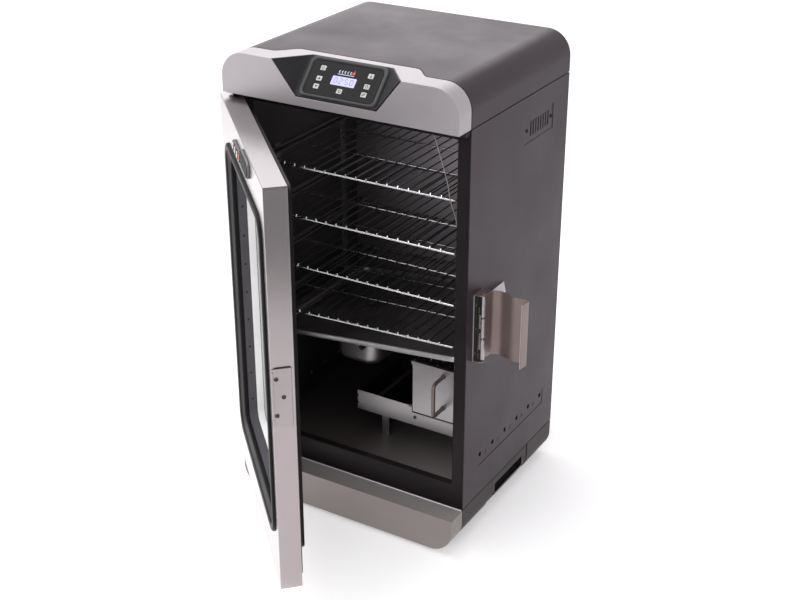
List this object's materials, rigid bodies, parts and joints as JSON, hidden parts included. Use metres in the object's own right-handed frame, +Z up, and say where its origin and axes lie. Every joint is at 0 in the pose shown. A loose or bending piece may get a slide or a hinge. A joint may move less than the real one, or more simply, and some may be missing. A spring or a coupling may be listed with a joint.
{
  "type": "electric cabinet smoker",
  "caption": "Upright insulated electric smoker with a glazed side-hinged door standing open, wire racks, drip tray, heater, wood chip drawer, sloping control panel and a side latch.",
  "frame": {"origin": "on the floor, under the middle of the rest-pose bounding box with the door open", "axes": "+Z up, -Y the front the door is on, +X the latch side"},
  "size_m": [0.5378, 0.7042, 0.83],
  "materials": {
    "back_panel": "satin grey paint",
    "badge": "matt black",
    "base_back": "matt black",
    "base_left": "matt black",
    "base_right": "matt black",
    "base_trim": "brushed",
    "bottom_cover": "black enamel",
    "button_light": "silver",
    "button_power": "silver",
    "button_probe": "silver",
    "button_set": "silver",
    "button_temp_down": "silver",
    "button_temp_up": "silver",
    "button_timer": "silver",
    "circuit_board": "green laminate",
    "control_face": "gloss",
    "control_housing": "matt black",
    "display": "backlit",
    "door_gasket": "matt",
    "door_insulation": "glass wool",
    "door_liner": "black enamel",
    "door_skin": "brushed",
    "drip_tray": "brushed",
    "fascia": "brushed",
    "floor_plate": "black enamel",
    "front_frame": "black enamel",
    "grease_tray": "brushed",
    "heater_tray": "brushed",
    "heating_element": "oxidised",
    "hinge_bottom": "black enamel",
    "hinge_top": "black enamel",
    "insulation_back": "glass wool",
    "insulation_left": "glass wool",
    "insulation_right": "glass wool",
    "insulation_top": "glass wool",
    "latch_base": "brushed",
    "latch_lever": "brushed",
    "lid": "satin grey paint",
    "liner_back": "black enamel",
    "liner_left": "black enamel",
    "liner_right": "black enamel",
    "liner_top": "black enamel",
    "meat_probe": "polished",
    "power_inlet": "matt black",
    "probe_lead": "braided",
    "rack_1": "polished",
    "rack_2": "polished",
    "rack_3": "polished",
    "rack_4": "polished",
    "rack_guide_left": "dull",
    "rack_guide_right": "dull",
    "side_panel_left": "satin grey paint",
    "side_panel_right": "satin grey paint",
    "smoker_box": "brushed",
    "smoker_box_handle": "polished",
    "strike_plate": "brushed",
    "water_pan": "brushed",
    "window_bezel": "matt black",
    "window_glass_inner": "tinted",
    "window_glass_outer": "tinted"
  },
  "bodies": {
    "cabinet": {"back_panel": "back_panel", "base_back": "base_back", "base_left": "base_left", "base_right": "base_right", "base_trim": "base_trim", "bottom_cover": "bottom_cover", "circuit_board": "circuit_board", "control_face": "control_face", "control_housing": "control_housing", "display": "display", "drip_tray": "drip_tray", "fascia": "fascia", "floor_plate": "floor_plate", "front_frame": "front_frame", "heater_tray": "heater_tray", "heating_element": "heating_element", "hinge_bottom": "hinge_bottom", "hinge_top": "hinge_top", "insulation_back": "insulation_back", "insulation_left": "insulation_left", "insulation_right": "insulation_right", "insulation_top": "insulation_top", "latch_base": "latch_base", "lid": "lid", "liner_back": "liner_back", "liner_left": "liner_left", "liner_right": "liner_right", "liner_top": "liner_top", "meat_probe": "meat_probe", "power_inlet": "power_inlet", "probe_lead": "probe_lead", "rack_1": "rack_1", "rack_2": "rack_2", "rack_3": "rack_3", "rack_4": "rack_4", "rack_guide_left": "rack_guide_left", "rack_guide_right": "rack_guide_right", "side_panel_left": "side_panel_left", "side_panel_right": "side_panel_right", "water_pan": "water_pan"},
    "door": {"door_skin": "door_skin", "door_insulation": "door_insulation", "door_liner": "door_liner", "door_gasket": "door_gasket", "window_bezel": "window_bezel", "window_glass_outer": "window_glass_outer", "window_glass_inner": "window_glass_inner", "badge": "badge", "strike_plate": "strike_plate"},
    "latch": {"latch_lever": "latch_lever"},
    "smoker_box_body": {"smoker_box": "smoker_box", "smoker_box_handle": "smoker_box_handle"},
    "grease_tray_body": {"grease_tray": "grease_tray"},
    "button_power_body": {"button_power": "button_power"},
    "button_temp_up_body": {"button_temp_up": "button_temp_up"},
    "button_temp_down_body": {"button_temp_down": "button_temp_down"},
    "button_set_body": {"button_set": "button_set"},
    "button_light_body": {"button_light": "button_light"},
    "button_timer_body": {"button_timer": "button_timer"},
    "button_probe_body": {"button_probe": "button_probe"}
  },
  "joints": [
    {"name": "door_hinge", "type": "hinge", "parent": "cabinet", "child": "door", "pos_m": [-0.24756, -0.02574, 0.414], "axis": [0, 0, -1], "range_deg": [-45.08, 80]},
    {"name": "latch_hinge", "type": "hinge", "parent": "cabinet", "child": "latch", "pos_m": [0.19594, 0.02046, 0.416], "axis": [0, 0, 1], "range_deg": [-90, 0]},
    {"name": "smoker_box_slide", "type": "slide", "parent": "cabinet", "child": "smoker_box_body", "axis": [0, -1, 0], "range_m": [0, 0.14]},
    {"name": "grease_tray_slide", "type": "slide", "parent": "cabinet", "child": "grease_tray_body", "axis": [0, 1, 0], "range_m": [0, 0.11]},
    {"name": "button_power_press", "type": "slide", "parent": "cabinet", "child": "button_power_body", "axis": [0, 0.7219, -0.692], "range_m": [0, 0.0008], "stiffness_N_per_m": 400, "springref_m": -0.0005},
    {"name": "button_temp_up_press", "type": "slide", "parent": "cabinet", "child": "button_temp_up_body", "axis": [0, 0.7219, -0.692], "range_m": [0, 0.0008], "stiffness_N_per_m": 400, "springref_m": -0.0005},
    {"name": "button_temp_down_press", "type": "slide", "parent": "cabinet", "child": "button_temp_down_body", "axis": [0, 0.7219, -0.692], "range_m": [0, 0.0008], "stiffness_N_per_m": 400, "springref_m": -0.0005},
    {"name": "button_set_press", "type": "slide", "parent": "cabinet", "child": "button_set_body", "axis": [0, 0.7219, -0.692], "range_m": [0, 0.0008], "stiffness_N_per_m": 400, "springref_m": -0.0005},
    {"name": "button_light_press", "type": "slide", "parent": "cabinet", "child": "button_light_body", "axis": [0, 0.7219, -0.692], "range_m": [0, 0.0008], "stiffness_N_per_m": 400, "springref_m": -0.0005},
    {"name": "button_timer_press", "type": "slide", "parent": "cabinet", "child": "button_timer_body", "axis": [0, 0.7219, -0.692], "range_m": [0, 0.0008], "stiffness_N_per_m": 400, "springref_m": -0.0005},
    {"name": "button_probe_press", "type": "slide", "parent": "cabinet", "child": "button_probe_body", "axis": [0, 0.7219, -0.692], "range_m": [0, 0.0008], "stiffness_N_per_m": 400, "springref_m": -0.0005}
  ]
}
